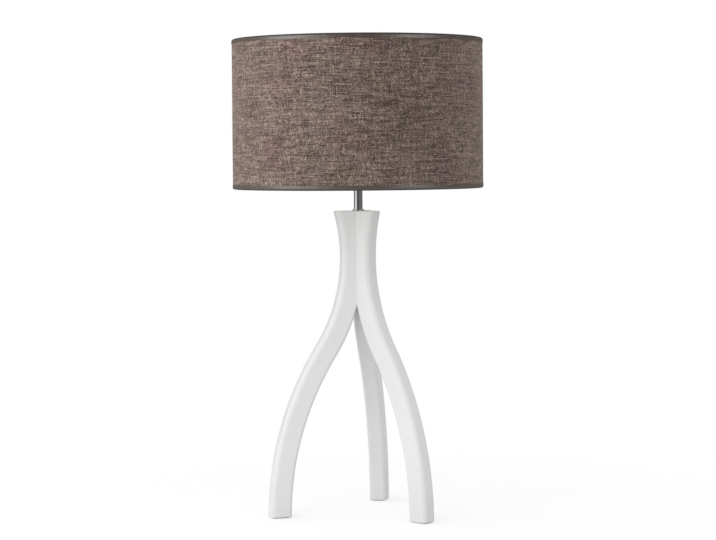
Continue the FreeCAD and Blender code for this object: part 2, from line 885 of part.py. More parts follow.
def make_gallery():
    """The stamped ring that sits on the holder's shoulder, its rim turned down."""
    inner = holder_radius + sizes["gallery_play"]
    outer = sizes["gallery_diameter"] / 2
    plate = sizes["gallery_plate"]
    return turned("gallery_ring", (
        (inner, gallery_low),
        (outer - plate, gallery_low),
        (outer - plate, gallery_top - sizes["gallery_skirt"]),
        (outer, gallery_top - sizes["gallery_skirt"]),
        (outer, gallery_top),
        (inner, gallery_top),
    ))


def make_shade():
    low = sizes["shade_lift"] + fold_radius
    high = shade_top - fold_radius
    pieces = [
        tube("shade_fabric", fabric_radius, fabric_radius - sizes["fabric_thick"], low, high),
        tube("shade_liner", liner_radius, liner_inside, low, high),
        hoop("top_ring", hoop_centre, high, hoop_radius),
        hoop("lower_ring", hoop_centre, low, hoop_radius),
        make_trim("top_trim", shade_top, DOWNWARD),
        make_lower_trim(),
        make_gallery(),
    ]
    pieces += [make_arm(side, heading) for side, heading in LEG_HEADINGS]
    return pieces


# Bulb

def make_bulb_cap():
    """A thin metal shell with a round thread, closed at neither end."""
    root = bulb_radius - sizes["bulb_thread_depth"]
    inner = root - sizes["bulb_cap_wall"]
    pitch = sizes["bulb_thread_pitch"]
    corners = [(inner, bulb_cap_low), (root, bulb_cap_low)]
    height = bulb_cap_low
    for _ in range(int(sizes["bulb_cap_height"].number // pitch.number)):
        corners.append((root, height + pitch / 4))
        corners.append((bulb_radius, height + pitch / 2))
        corners.append((bulb_radius, height + pitch * 3 / 4))
        height = height + pitch
        corners.append((root, height))
    corners += [(root, housing_low), (inner, housing_low)]
    return turned("bulb_cap", corners)


def make_bulb():
    tip_radius = sizes["tip_diameter"] / 2
    tip_edge = sizes["tip_round"]
    tip = turned("bulb_tip", (
        (ZERO, tip_low),
        (tip_radius - tip_edge, tip_low, tip_edge),
        (tip_radius, tip_low + tip_edge),
        (tip_radius, tip_low + sizes["tip_height"]),
        (ZERO, tip_low + sizes["tip_height"]),
    ))
    insulator = turned("bulb_insulator", (
        (ZERO, insulator_low),
        (tip_radius, insulator_low),
        (bulb_radius - sizes["bulb_thread_depth"] - sizes["bulb_cap_wall"], bulb_cap_low),
        (ZERO, bulb_cap_low),
    ))
    neck = sizes["housing_diameter"] / 2
    wall = sizes["housing_wall"]
    neck_top = housing_low + sizes["housing_neck"]
    rim = sizes["housing_rim"] / 2
    flare = sizes["housing_flare"]
    board_low = housing_top - sizes["board_thick"]
    housing = turned("bulb_housing", (
        (ZERO, housing_low),
        (neck, housing_low),
        (neck, neck_top, -flare),
        (rim, housing_top),
        (rim - wall, housing_top),
        (rim - wall, board_low),
        (rim - wall - sizes["board_ledge"], board_low, flare),
        (neck - wall, neck_top),
        (neck - wall, housing_low + wall),
        (ZERO, housing_low + wall),
    ))
    board = turned("led_board", (
        (ZERO, board_low),
        (rim - wall - sizes["glue_gap"], board_low),
        (rim - wall - sizes["glue_gap"], housing_top),
        (ZERO, housing_top),
    ))
    chips = []
    for step in range(CHIP_COUNT):
        chip = doc.addObject("Part::Box", "led_chip")
        bind(chip, "Length", sizes["chip_size"])
        bind(chip, "Width", sizes["chip_size"])
        bind(chip, "Height", sizes["chip_thick"])
        swing = math.radians(step * FULL_TURN / CHIP_COUNT)
        across = sizes["chip_circle"] / 2 * math.cos(swing) - sizes["chip_size"] / 2
        along = sizes["chip_circle"] / 2 * math.sin(swing) - sizes["chip_size"] / 2
        chips.append(place(chip, (across, along, housing_top)))
    globe = sizes["globe_diameter"] / 2
    hollow = globe - sizes["globe_wall"]
    sink = root_of(globe * globe - rim * rim)
    centre = housing_top + sink
    globe_body = turned("bulb_globe", (
        (rim, housing_top, globe),
        (globe, centre, globe),
        (ZERO, centre + globe),
        (ZERO, centre + hollow, -hollow),
        (hollow, centre, -hollow),
        (root_of(hollow * hollow - sink * sink), housing_top),
    ))
    return [tip, insulator, make_bulb_cap(), housing, board, compound("led_chips", chips), globe_body]


# Build everything

parts = []
for side, heading in LEG_HEADINGS:
    parts.append(make_leg(side, heading))
    parts.append(make_foot_pad(side, heading))
parts.append(make_dowels())
parts += make_rod_parts()
parts += make_stem()
parts += make_holder()
parts += make_shade()
parts += make_bulb()

doc.recompute()

for item in doc.Objects:
    for trouble in ("Invalid", "Error"):
        if trouble in item.State:
            raise RuntimeError(f"{item.Label}: {item.State}")
for part in parts:
    if part.Shape.isNull() or not part.Shape.isValid():
        raise RuntimeError(part.Label + ": its shape isn't valid")

os.makedirs("parts", exist_ok=True)
for part in parts:
    part.Shape.exportStep(os.path.join("parts", part.Label + ".step"))
    print(part.Label, len(part.Shape.Solids), round(part.Shape.Volume, 1))
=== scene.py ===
import json
import math

import bmesh
import bpy
from mathutils import Matrix, Vector


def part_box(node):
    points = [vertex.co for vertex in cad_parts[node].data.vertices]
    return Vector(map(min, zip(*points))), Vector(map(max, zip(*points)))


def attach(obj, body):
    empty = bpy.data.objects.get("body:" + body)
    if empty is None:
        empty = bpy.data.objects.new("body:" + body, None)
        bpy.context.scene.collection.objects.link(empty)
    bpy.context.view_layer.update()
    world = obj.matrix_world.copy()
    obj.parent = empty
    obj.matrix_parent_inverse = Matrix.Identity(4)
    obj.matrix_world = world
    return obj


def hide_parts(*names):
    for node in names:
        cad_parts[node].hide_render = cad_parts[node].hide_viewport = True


# Table lamp: a white tripod of bent wood, a chrome stem, and a wide drum shade
# of slubbed cloth with satin tape folded over both rims. Lengths in metres.

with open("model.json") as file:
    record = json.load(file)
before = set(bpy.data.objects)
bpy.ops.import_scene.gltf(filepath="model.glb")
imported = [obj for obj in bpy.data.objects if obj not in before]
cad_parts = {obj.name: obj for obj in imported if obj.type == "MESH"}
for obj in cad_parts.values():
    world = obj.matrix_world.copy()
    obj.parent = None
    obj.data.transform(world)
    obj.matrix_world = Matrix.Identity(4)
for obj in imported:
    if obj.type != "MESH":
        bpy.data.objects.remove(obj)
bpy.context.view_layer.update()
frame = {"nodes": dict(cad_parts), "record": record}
nodes = frame["nodes"]
scene = bpy.context.scene
bpy.ops.object.select_all(action="DESELECT")

FULL_TURN = 2 * math.pi
SHARP_ANGLE = math.radians(40)
LEG_HEADINGS = {"rear": math.radians(90), "left": math.radians(210), "right": math.radians(330)}

# Camera: its axis meets the picture at AXIS_SPOT, a little above the middle
PICTURE_WIDTH, PICTURE_HEIGHT = 716, 540
AXIS_SPOT = (358.4, 223.3)
CAMERA_SIDE = math.radians(13.81)
CAMERA_DISTANCE = 2.971
CAMERA_HEIGHT = 0.5106
CAMERA_DROP = math.radians(2.0)
CAMERA_ROLL = math.radians(-0.44)
CAMERA_LENS = 106.9
SENSOR_WIDTH = 36

# Light, with angles to the right of the camera as seen from the lamp. The light
# all round gets weaker from below to overhead, and leans to one side.
AMBIENT = 1.345
AMBIENT_DROP = 0.6
AMBIENT_SIDE = math.radians(-80)
AMBIENT_LEAN = 0.28
AIM_HEIGHT = 0.5
SOFT_BOXES = (
    # name, angle, distance, height, width, depth, power, what it lights, whether gloss shows it
    ("front_fill", -31, 2.4, 0.55, 1.2, 0.8, 10.5, "everything", False),
    ("shade_key", -74, 2.1, 0.8, 1.1, 1.1, 23.8, "shade", False),
    ("shade_fill", 118, 2.1, 0.8, 0.9, 0.9, 19.0, "shade", False),
    ("tape_left", -58, 2.1, 0.85, 1.7, 0.8, 22.0, "tapes", True),
    ("tape_right", 51, 2.1, 0.85, 0.75, 0.8, 14.5, "tapes", True),
)
# What the shade's soft boxes light besides its cloth and tapes
INSIDE_SHADE = ("shade_liner", "top_ring", "lower_ring", "gallery_ring",
                "fitter_arm_left", "fitter_arm_right", "fitter_arm_rear")

# Cards round the set, and one above it, that only reflections show
CARDS = (
    # name, the angles where it starts and ends, grey
    ("card_front", -38, 25, 0.10),
    ("card_right", 25, 75, 0.19),
    ("card_right_side", 75, 125, 0.19),
    ("card_right_rear", 125, 180, 0.08),
    ("card_left_rear", -180, -98, 0.05),
)
CARD_REACH = 3.4
CARD_TOP = 2.5
CEILING_GREY = 0.15

# Floor: its grey, how much white of its own it gives to what shows it, and how
# far out it starts and ends turning to plain white
FLOOR_SIZE = 60
FLOOR_GREY = 0.48
FLOOR_GLOW = 0.54
FLOOR_FADE = (0.3, 0.75)

# Cloth of the shade, long enough to lap over itself behind the lamp
CLOTH_THICK = 0.0007
CLOTH_LAP = 0.014
CLOTH_SEAM = math.radians(100)
CLOTH_RIPPLE = 0.0003
CLOTH_GRID = (560, 26)

# Threads: how far apart they lie, how far they wander, and how long one tone
# runs on along a thread as a slub, as a faint stripe and as a knot
THREAD_PITCH = 0.0014
THREAD_WANDER = 0.0004
SLUB_LENGTH = 0.006
STRIPE_LENGTH = 0.034
KNOT_LENGTH = 0.0021

# Tape over each rim: the fold's middle lies at TAPE_MIDDLE across its width, and
# the painted shade along the fold starts and is full that far from there
TAPE_THICK = 0.0004
TAPE_LAP = 0.012
TAPE_SEAM = math.radians(112)
TAPE_GRID = (720, 18)
TAPE_RIB_PITCH = 0.00042
TAPE_MIDDLE = 0.00813
TAPE_FOLD_SHADE = (0.0048, 0.0026)
TAPE_PUCKER = 0.00035
TAPE_PUCKERS = 116

# Notches of the lower tape: half their width, the ramp beside it, and the share
# of the fold that is left
NOTCH_HALF = 0.0026
NOTCH_RAMP = 0.0016
NOTCH_FOLD = 0.74

# Laps: how far before the edge under it a sheet climbs, and the play between them
LAP_RAMP = 0.006
LAP_PLAY = 0.00005

# Felt under the feet
FELT_CORNER = 0.004
FELT_EDGE = 0.0003


# Small helpers

def paint(red, green, blue):
    """A colour as it looks on screen, from 0 to 255, as the linear values that a shader takes."""
    shares = (red / 255, green / 255, blue / 255)
    linear = [share / 12.92 if share <= 0.04045 else ((share + 0.055) / 1.055) ** 2.4 for share in shares]
    return (*linear, 1.0)


def smooth(share):
    """0 before 0, 1 after 1, and an even curve between."""
    share = min(max(share, 0.0), 1.0)
    return share * share * (3 - 2 * share)


def finish_mesh(piece, body, slot):
    """Shade a new piece, give it its slot's material and let it ride on its body."""
    bpy.ops.object.select_all(action="DESELECT")
    piece.select_set(True)
    bpy.context.view_layer.objects.active = piece
    bpy.ops.object.shade_smooth_by_angle(angle=SHARP_ANGLE)
    piece.data.materials.clear()
    piece.data.materials.append(MATERIALS[slot])
    piece.select_set(False)
    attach(piece, body)


def thicken(piece, thickness):
    """Give a sheet its thickness, inwards from its outer face."""
    bpy.context.view_layer.objects.active = piece
    modifier = piece.modifiers.new("thickness", "SOLIDIFY")
    modifier.thickness = thickness
    modifier.offset = -1
    bpy.ops.object.modifier_apply(modifier=modifier.name)


# Materials

class Wiring:
    """Adds nodes to a tree and joins their sockets."""

    def __init__(self, tree):
        self.tree = tree

    def add(self, kind, inputs=None, **settings):
        node = self.tree.nodes.new(kind)
        for setting, value in settings.items():
            setattr(node, setting, value)
        for socket, value in (inputs or {}).items():
            self.feed(node, socket, value)
        return node

    def feed(self, node, socket, value):
        if isinstance(value, bpy.types.NodeSocket):
            self.tree.links.new(value, node.inputs[socket])
        else:
            node.inputs[socket].default_value = value

    def place(self):
        """Where a point lies on the lamp, in metres."""
        return self.add("ShaderNodeTexCoord").outputs["Object"]

    def maths(self, operation, *values, clamp=False):
        node = self.add("ShaderNodeMath", dict(enumerate(values)), operation=operation, use_clamp=clamp)
        return node.outputs[0]

    def remap(self, value, low, high, start=0.0, end=1.0, kind="LINEAR"):
        inputs = {"Value": value, "From Min": low, "From Max": high, "To Min": start, "To Max": end}
        return self.add("ShaderNodeMapRange", inputs, interpolation_type=kind).outputs["Result"]

    def mix(self, share, first, second, blend="MIX"):
        node = self.add("ShaderNodeMix", {0: share, 6: first, 7: second}, data_type="RGBA", blend_type=blend)
        return node.outputs[2]

    def noise(self, place, scale, detail=2.0, roughness=0.5):
        inputs = {"Vector": place, "Scale": scale, "Detail": detail, "Roughness": roughness}
        return self.add("ShaderNodeTexNoise", inputs).outputs["Fac"]

    def stretch(self, place, scale):
        """The place scaled along each axis."""
        return self.add("ShaderNodeMapping", {"Vector": place, "Scale": scale}).outputs[0]

    def ramp(self, value, stops):
        node = self.add("ShaderNodeValToRGB", {"Fac": value})
        steps = node.color_ramp.elements
        for step, (position, colour) in zip(steps, (stops[0], stops[-1])):
            step.position, step.color = position, colour
        for position, colour in stops[1:-1]:
            steps.new(position).color = colour
        return node.outputs["Color"]

    def bump(self, height, strength, distance):
        inputs = {"Height": height, "Strength": strength, "Distance": distance}
        return self.add("ShaderNodeBump", inputs).outputs["Normal"]

    def group(self, tree, **inputs):
        node = self.add("ShaderNodeGroup", node_tree=tree)
        for socket, value in inputs.items():
            self.feed(node, socket, value)
        return node.outputs


def new_group(name, takes, gives):
    """An empty shader group with its sockets, the wiring inside it, and its inputs and outputs."""
    tree = bpy.data.node_groups.new(name, "ShaderNodeTree")
    for socket, kind in takes:
        tree.interface.new_socket(name=socket, in_out="INPUT", socket_type=kind)
    for socket, kind in gives:
        tree.interface.new_socket(name=socket, in_out="OUTPUT", socket_type=kind)
    wiring = Wiring(tree)
    entry = wiring.add("NodeGroupInput").outputs
    leave = wiring.add("NodeGroupOutput")
    return tree, wiring, entry, leave


NUMBER = "NodeSocketFloat"
VECTOR = "NodeSocketVector"


def weave_group():
    """Plain weave on a flat map in metres: relief, each thread's tone, which is on top, and each crossing's tone."""
    takes = (("Flat", VECTOR), ("Pitch", NUMBER), ("Slub", NUMBER))
    gives = (("Height", NUMBER), ("Weft", NUMBER), ("Warp", NUMBER), ("Over", NUMBER), ("Crossing", NUMBER))
    tree, wiring, entry, leave = new_group("Weave", takes, gives)
    wander = wiring.noise(entry["Flat"], 70.0)
    shift = wiring.maths("MULTIPLY", wiring.maths("SUBTRACT", wander, 0.5), THREAD_WANDER)
    flat = wiring.add("ShaderNodeSeparateXYZ", {0: entry["Flat"]}).outputs
    across = wiring.maths("DIVIDE", wiring.maths("ADD", flat["X"], shift), entry["Pitch"])
    up = wiring.maths("DIVIDE", wiring.maths("ADD", flat["Y"], shift), entry["Pitch"])
    column = wiring.maths("FLOOR", across)
    row = wiring.maths("FLOOR", up)
    over = wiring.maths("FLOORED_MODULO", wiring.maths("ADD", column, row), 2.0)
    under = wiring.maths("SUBTRACT", 1.0, over)

    def dome(share):
        part = wiring.maths("FRACT", share)
        return wiring.maths("MULTIPLY", wiring.maths("MULTIPLY", part, 4.0), wiring.maths("SUBTRACT", 1.0, part))

    def thread(round_side, long_side, on_top):
        crest = wiring.maths("MULTIPLY_ADD", wiring.maths("MULTIPLY", long_side, on_top), 0.65, 0.35)
        return wiring.maths("MULTIPLY", round_side, crest)

    dome_across, dome_up = dome(across), dome(up)
    height = wiring.maths("MAXIMUM", thread(dome_up, dome_across, over), thread(dome_across, dome_up, under))

    def tone(run, line, seed):
        along = wiring.maths("DIVIDE", run, entry["Slub"])
        apart = wiring.maths("MULTIPLY", line, seed)
        spot = wiring.add("ShaderNodeCombineXYZ", {"X": along, "Y": apart}).outputs[0]
        return wiring.noise(spot, 1.0, detail=1.0)

    wiring.feed(leave, "Height", height)
    wiring.feed(leave, "Weft", tone(flat["X"], row, 7.31))
    wiring.feed(leave, "Warp", tone(flat["Y"], column, 5.17))
    wiring.feed(leave, "Over", over)
    spot = wiring.add("ShaderNodeCombineXYZ", {"X": column, "Y": row}).outputs[0]
    wiring.feed(leave, "Crossing", wiring.add("ShaderNodeTexWhiteNoise", {"Vector": spot}).outputs["Value"])
    return tree


def grain_group():
    """Fine unevenness of a made surface: a slow tone, a fast tone and a relief."""
    takes = (("Place", VECTOR), ("Broad", NUMBER), ("Fine", NUMBER))
    gives = (("Cloud", NUMBER), ("Speck", NUMBER), ("Height", NUMBER))
    tree, wiring, entry, leave = new_group("Grain", takes, gives)
    cloud = wiring.noise(entry["Place"], entry["Broad"], detail=3.0)
    speck = wiring.noise(entry["Place"], entry["Fine"], detail=2.0, roughness=0.6)
    wiring.feed(leave, "Cloud", wiring.remap(cloud, 0.3, 0.7))
    wiring.feed(leave, "Speck", wiring.remap(speck, 0.3, 0.7))
    wiring.feed(leave, "Height", wiring.maths("ADD", speck, wiring.maths("MULTIPLY", cloud, 0.5)))
    return tree


def edge_group():
    """Where a surface turns sharply, broken up as wear is."""
    takes = (("Place", VECTOR), ("Width", NUMBER))
    tree, wiring, entry, leave = new_group("Edges", takes, (("Worn", NUMBER),))
    rounded = wiring.add("ShaderNodeBevel", {"Radius": entry["Width"]}, samples=4).outputs[0]
    facing = wiring.add("ShaderNodeNewGeometry").outputs["Normal"]
    agree = wiring.add("ShaderNodeVectorMath", {0: rounded, 1: facing}, operation="DOT_PRODUCT").outputs["Value"]
    turned = wiring.remap(agree, 0.995, 0.90)
    patch = wiring.remap(wiring.noise(entry["Place"], 180.0, detail=4.0, roughness=0.7), 0.42, 0.62)
    wiring.feed(leave, "Worn", wiring.maths("MULTIPLY", turned, patch, clamp=True))
    return tree


WEAVE = weave_group()
GRAIN = grain_group()
EDGES = edge_group()


def new_material(name, **constants):
    """A material with a principled shader, and the constants set on the shader's own sockets."""
    material = bpy.data.materials.new(name)
    material.use_nodes = True
    wiring = Wiring(material.node_tree)
    shader = material.node_tree.nodes["Principled BSDF"]
    for socket, value in constants.items():
        shader.inputs[socket.replace("_", " ")].default_value = value
    return material, wiring, shader


def made_surface(name, light, dark, rough, broad=40.0, fine=900.0, relief=0.00003, wear=None, **constants):
    """A moulded, plated or painted surface: two close tones, uneven gloss, fine relief and worn edges."""
    material, wiring, shader = new_material(name, **constants)
    place = wiring.place()
    grain = wiring.group(GRAIN, Place=place, Broad=broad, Fine=fine)
    tone = wiring.maths("MULTIPLY_ADD", grain["Speck"], 0.35, wiring.maths("MULTIPLY", grain["Cloud"], 0.65))
    colour = wiring.mix(tone, paint(*light), paint(*dark))
    gloss = wiring.remap(grain["Cloud"], 0.0, 1.0, rough[0], rough[1])
    if wear:
        worn = wiring.group(EDGES, Place=place, Width=0.0008)["Worn"]
        colour = wiring.mix(wiring.maths("MULTIPLY", worn, 0.6), colour, paint(*wear))
        gloss = wiring.maths("MULTIPLY_ADD", worn, 0.12, gloss)
    wiring.feed(shader, "Base Color", colour)
    wiring.feed(shader, "Roughness", gloss)
    wiring.feed(shader, "Normal", wiring.bump(grain["Height"], 0.5, relief))
    return material


def lacquer_material():
    """Satin white lacquer on wood: faint grain under it, orange peel in it, thin at the edges."""
    material, wiring, shader = new_material("lacquer", Coat_Weight=0.15, Coat_Roughness=0.35)
    place = wiring.place()
    grain = wiring.group(GRAIN, Place=place, Broad=14.0, Fine=620.0)
    fibres = wiring.noise(wiring.stretch(place, (420.0, 420.0, 14.0)), 1.0, detail=3.0)
    pores = wiring.remap(fibres, 0.34, 0.24)
    worn = wiring.group(EDGES, Place=place, Width=0.0015)["Worn"]
    level = wiring.add("ShaderNodeSeparateXYZ", {0: place}).outputs["Z"]
    scuffed = wiring.maths("MULTIPLY", wiring.remap(level, 0.05, 0.0), grain["Speck"], clamp=True)
    colour = wiring.mix(grain["Cloud"], paint(236, 236, 236), paint(232, 232, 232))
    colour = wiring.mix(wiring.maths("MULTIPLY", pores, 0.25), colour, paint(214, 214, 213))
    colour = wiring.mix(wiring.maths("MULTIPLY", worn, 0.35), colour, paint(240, 240, 238))
    colour = wiring.mix(wiring.maths("MULTIPLY", scuffed, 0.3), colour, paint(206, 205, 202))
    relief = wiring.maths("MULTIPLY_ADD", pores, -0.6, grain["Height"])
    gloss = wiring.remap(grain["Cloud"], 0.0, 1.0, 0.4, 0.48)
    wiring.feed(shader, "Base Color", colour)
    wiring.feed(shader, "Roughness", wiring.maths("MULTIPLY_ADD", scuffed, 0.25, gloss))
    wiring.feed(shader, "Normal", wiring.bump(relief, 0.35, 0.00006))
    return material


def chrome_material():
    """Polished chrome with hair lines round it and a faint haze."""
    material, wiring, shader = new_material("chrome", Metallic=1.0)
    place = wiring.place()
    grain = wiring.group(GRAIN, Place=place, Broad=60.0, Fine=1400.0)
    lines = wiring.noise(wiring.stretch(place, (30.0, 30.0, 5200.0)), 1.0, detail=2.0)
    haze = wiring.maths("MULTIPLY", wiring.remap(grain["Cloud"], 0.45, 1.0), 0.05)
    wiring.feed(shader, "Base Color", wiring.mix(grain["Cloud"], paint(214, 214, 216), paint(203, 204, 207)))
    wiring.feed(shader, "Roughness", wiring.maths("MULTIPLY_ADD", lines, 0.05, wiring.maths("ADD", haze, 0.06)))
    wiring.feed(shader, "Normal", wiring.bump(lines, 0.15, 0.00002))
    return material


def cloth_material():
    """Coarse taupe cloth: uneven threads with dark slubs and knots, pale flecks, painted shade between threads, and
    soft clouds of hue.
    """
    material, wiring, shader = new_material("shade_cloth", Sheen_Weight=0.1, Sheen_Roughness=0.45,
                                            Sheen_Tint=(1.0, 0.84, 0.74, 1.0))
    flat = wiring.add("ShaderNodeUVMap", uv_map="Flat").outputs["UV"]
    weave = wiring.group(WEAVE, Flat=flat, Pitch=THREAD_PITCH, Slub=SLUB_LENGTH)
    stripes = wiring.group(WEAVE, Flat=flat, Pitch=THREAD_PITCH, Slub=STRIPE_LENGTH)
    knots = wiring.group(WEAVE, Flat=flat, Pitch=THREAD_PITCH, Slub=KNOT_LENGTH)
    weft = wiring.remap(weave["Weft"], 0.3, 0.7)
    warp = wiring.remap(weave["Warp"], 0.3, 0.7)
    on_top = wiring.maths("MULTIPLY_ADD", weave["Over"], wiring.maths("SUBTRACT", weft, warp), warp)
    level = wiring.remap(stripes["Weft"], 0.3, 0.7)
    upright = wiring.remap(stripes["Warp"], 0.3, 0.7)
    slub = wiring.remap(weave["Weft"], 0.37, 0.28, kind="SMOOTHSTEP")
    knot = wiring.remap(knots["Weft"], 0.70, 0.75, kind="SMOOTHSTEP")
    fleck = wiring.remap(weave["Warp"], 0.60, 0.70, kind="SMOOTHSTEP")
    # Painted shade: the colour darkens where the weave is low, between the threads
    gap_shade = wiring.remap(weave["Height"], 0.35, 0.05)
    tone = -0.18
    for part, share in ((on_top, 0.42), (weave["Crossing"], 0.46), (level, 0.44), (upright, 0.18),
                        (slub, -0.26), (knot, -0.6), (fleck, 0.22), (gap_shade, -0.30)):
        tone = wiring.maths("MULTIPLY_ADD", part, share, tone)
    cloud = wiring.noise(flat, 12.0, detail=1.0)
    colour = wiring.ramp(tone, (
        (0.0, paint(48, 36, 32)),
        (0.30, paint(77, 64, 58)),
        (0.52, paint(103, 88, 81)),
        (0.78, paint(128, 111, 102)),
        (1.0, paint(157, 141, 129)),
    ))
    mauve = wiring.remap(cloud, 0.5, 0.68)
    brown = wiring.remap(cloud, 0.5, 0.32)
    colour = wiring.mix(mauve, colour, paint(250, 238, 244), blend="MULTIPLY")
    colour = wiring.mix(brown, colour, paint(248, 247, 241), blend="MULTIPLY")
    relief = wiring.maths("MULTIPLY_ADD", knot, 0.7, weave["Height"])
    wiring.feed(shader, "Base Color", colour)
    wiring.feed(shader, "Roughness", wiring.remap(weave["Height"], 0.0, 1.0, 0.95, 0.78))
    wiring.feed(shader, "Normal", wiring.bump(relief, 0.55, 0.0004))
    return material


def tape_material():
    """Satin tape: fine close ribs, a gloss that is softer where seen slantwise, and a painted shade line along the
    fold.
    """
    material, wiring, shader = new_material("shade_tape", Sheen_Weight=0.05, Sheen_Roughness=0.35,
                                            Specular_IOR_Level=0.65)
    flat = wiring.add("ShaderNodeUVMap", uv_map="Flat").outputs["UV"]
    weave = wiring.group(WEAVE, Flat=flat, Pitch=TAPE_RIB_PITCH, Slub=SLUB_LENGTH)
    cloud = wiring.noise(flat, 90.0, detail=3.0)
    width = wiring.add("ShaderNodeSeparateXYZ", {0: flat}).outputs["Y"]
    off_fold = wiring.maths("ABSOLUTE", wiring.maths("SUBTRACT", width, TAPE_MIDDLE))
    # Mask of the painted shade line along the tape's fold
    fold = wiring.remap(off_fold, *TAPE_FOLD_SHADE, kind="SMOOTHSTEP")
    tone = wiring.maths("MULTIPLY_ADD", weave["Warp"], 0.4, wiring.maths("MULTIPLY", cloud, 0.6))
    colour = wiring.ramp(tone, (
        (0.25, paint(52, 44, 38)),
        (0.5, paint(62, 53, 46)),
        (0.75, paint(74, 64, 56)),
    ))
    # Painted shade: the colour darkens along the fold
    colour = wiring.mix(wiring.maths("MULTIPLY", fold, 0.6), colour, paint(34, 28, 25))
    gloss = wiring.remap(weave["Height"], 0.0, 1.0, 0.38, 0.28)
    facing = wiring.add("ShaderNodeLayerWeight", {"Blend": 0.5}).outputs["Facing"]
    slant = wiring.remap(facing, 0.3, 0.68, kind="SMOOTHSTEP")
    gloss = wiring.maths("MULTIPLY_ADD", slant, 0.32, gloss)
    wiring.feed(shader, "Base Color", colour)
    wiring.feed(shader, "Roughness", wiring.maths("MULTIPLY_ADD", fold, 0.3, gloss))
    wiring.feed(shader, "Normal", wiring.bump(weave["Height"], 0.3, 0.00012))
    return material


def felt_material():
    """Pressed felt: matted fibres lying every way."""
    material, wiring, shader = new_material("felt", Sheen_Weight=0.35, Sheen_Roughness=0.6)
    place = wiring.place()
    grain = wiring.group(GRAIN, Place=place, Broad=220.0, Fine=2600.0)
    colour = wiring.mix(grain["Speck"], paint(196, 193, 188), paint(168, 165, 160))
    colour = wiring.mix(wiring.maths("MULTIPLY", grain["Cloud"], 0.25), colour, paint(150, 146, 141))
    wiring.feed(shader, "Base Color", colour)
    wiring.feed(shader, "Roughness", wiring.remap(grain["Speck"], 0.0, 1.0, 0.88, 0.98))
    wiring.feed(shader, "Normal", wiring.bump(grain["Height"], 0.8, 0.0003))
    return material


def beech_material():
    """Bare beech with short dark flecks along the dowel."""
    material, wiring, shader = new_material("dowel_wood")
    place = wiring.place()
    fibres = wiring.noise(wiring.stretch(place, (900.0, 900.0, 160.0)), 1.0, detail=4.0)
    flecks = wiring.remap(wiring.noise(wiring.stretch(place, (300.0, 300.0, 1500.0)), 1.0), 0.6, 0.7)
    colour = wiring.mix(wiring.remap(fibres, 0.3, 0.7), paint(208, 172, 128), paint(184, 144, 100))
    colour = wiring.mix(wiring.maths("MULTIPLY", flecks, 0.5), colour, paint(140, 98, 62))
    wiring.feed(shader, "Base Color", colour)
    wiring.feed(shader, "Roughness", wiring.remap(fibres, 0.0, 1.0, 0.6, 0.75))
    wiring.feed(shader, "Normal", wiring.bump(fibres, 0.4, 0.0001))
    return material


MATERIALS = {
    "lacquer": lacquer_material(),
    "dowel_wood": beech_material(),
    "felt": felt_material(),
    "steel": made_surface("steel", (168, 170, 172), (140, 142, 145), (0.28, 0.42), fine=1500.0,
                          wear=(196, 196, 196), Metallic=1.0),
    "chrome": chrome_material(),
    "nylon": made_surface("nylon", (38, 38, 38), (28, 28, 29), (0.48, 0.6), wear=(66, 66, 66)),
    "holder_plastic": made_surface("holder_plastic", (238, 237, 232), (231, 229, 222), (0.2, 0.3), relief=0.00002,
                                   wear=(214, 211, 203)),
    "core_plastic": made_surface("core_plastic", (226, 222, 210), (214, 209, 196), (0.5, 0.62),
                                 wear=(196, 190, 176)),
    "contact_brass": made_surface("contact_brass", (214, 180, 112), (186, 148, 84), (0.26, 0.42), broad=140.0,
                                  wear=(228, 200, 140), Metallic=1.0),
    "shade_cloth": cloth_material(),
    "shade_tape": tape_material(),
    "shade_film": made_surface("shade_film", (240, 237, 230), (232, 228, 219), (0.42, 0.52), broad=12.0,
                               fine=500.0, relief=0.00004),
    "hoop_paint": made_surface("hoop_paint", (228, 228, 226), (219, 219, 216), (0.34, 0.44), fine=1300.0,
                               relief=0.00005, wear=(176, 174, 170)),
    "bulb_white": made_surface("bulb_white", (238, 238, 236), (231, 231, 228), (0.4, 0.5), wear=(214, 213, 208)),
    "bulb_opal": made_surface("bulb_opal", (243, 243, 240), (237, 236, 231), (0.3, 0.4), broad=30.0,
                              relief=0.00002),
    "bulb_metal": made_surface("bulb_metal", (204, 203, 200), (180, 179, 176), (0.24, 0.38), broad=160.0,
                               wear=(224, 222, 218), Metallic=1.0),
    "bulb_insulator": made_surface("bulb_insulator", (30, 26, 27), (20, 17, 18), (0.12, 0.2)),
    "board": made_surface("board", (232, 233, 233), (218, 220, 220), (0.35, 0.45), wear=(188, 189, 190)),
    "chip": made_surface("chip", (240, 214, 96), (228, 196, 74), (0.35, 0.5), broad=900.0, fine=4000.0),
}


def dress_cad_nodes():
    """Give every CAD node its slot's finish."""
    for row in frame["record"]["subparts"]:
        node = nodes[row["node"]]
        for slot in node.material_slots:
            slot.material = MATERIALS[row["material_slot"]]


# Cloth and tapes of the shade

def roll_sheet(name, length, width, grid, spot):
    """A flat sheet with its UVs in metres, each point then carried to its spot on the drum."""
    bpy.ops.mesh.primitive_grid_add(x_subdivisions=grid[0], y_subdivisions=grid[1], size=1, calc_uvs=True)
    piece = bpy.context.object
    piece.name = piece.data.name = name
    flat = piece.data.uv_layers[0]
    flat.name = "Flat"
    for corner in flat.data:
        corner.uv = (corner.uv.x * length, corner.uv.y * width)
    for vertex in piece.data.vertices:
        vertex.co = spot((vertex.co.x + 0.5) * length, (vertex.co.y + 0.5) * width)
    return piece


def on_drum(radius, heading, height):
    return Vector((radius * math.cos(heading), radius * math.sin(heading), height))


def turn_from(heading, start):
    """How far a heading lies past another, within half a turn either way."""
    return (heading - start + math.pi) % FULL_TURN - math.pi


def climb(along, round_length, rise):
    """How far a sheet's end stands off the drum where it laps over its own start."""
    return rise * smooth((along - round_length + LAP_RAMP) / LAP_RAMP)


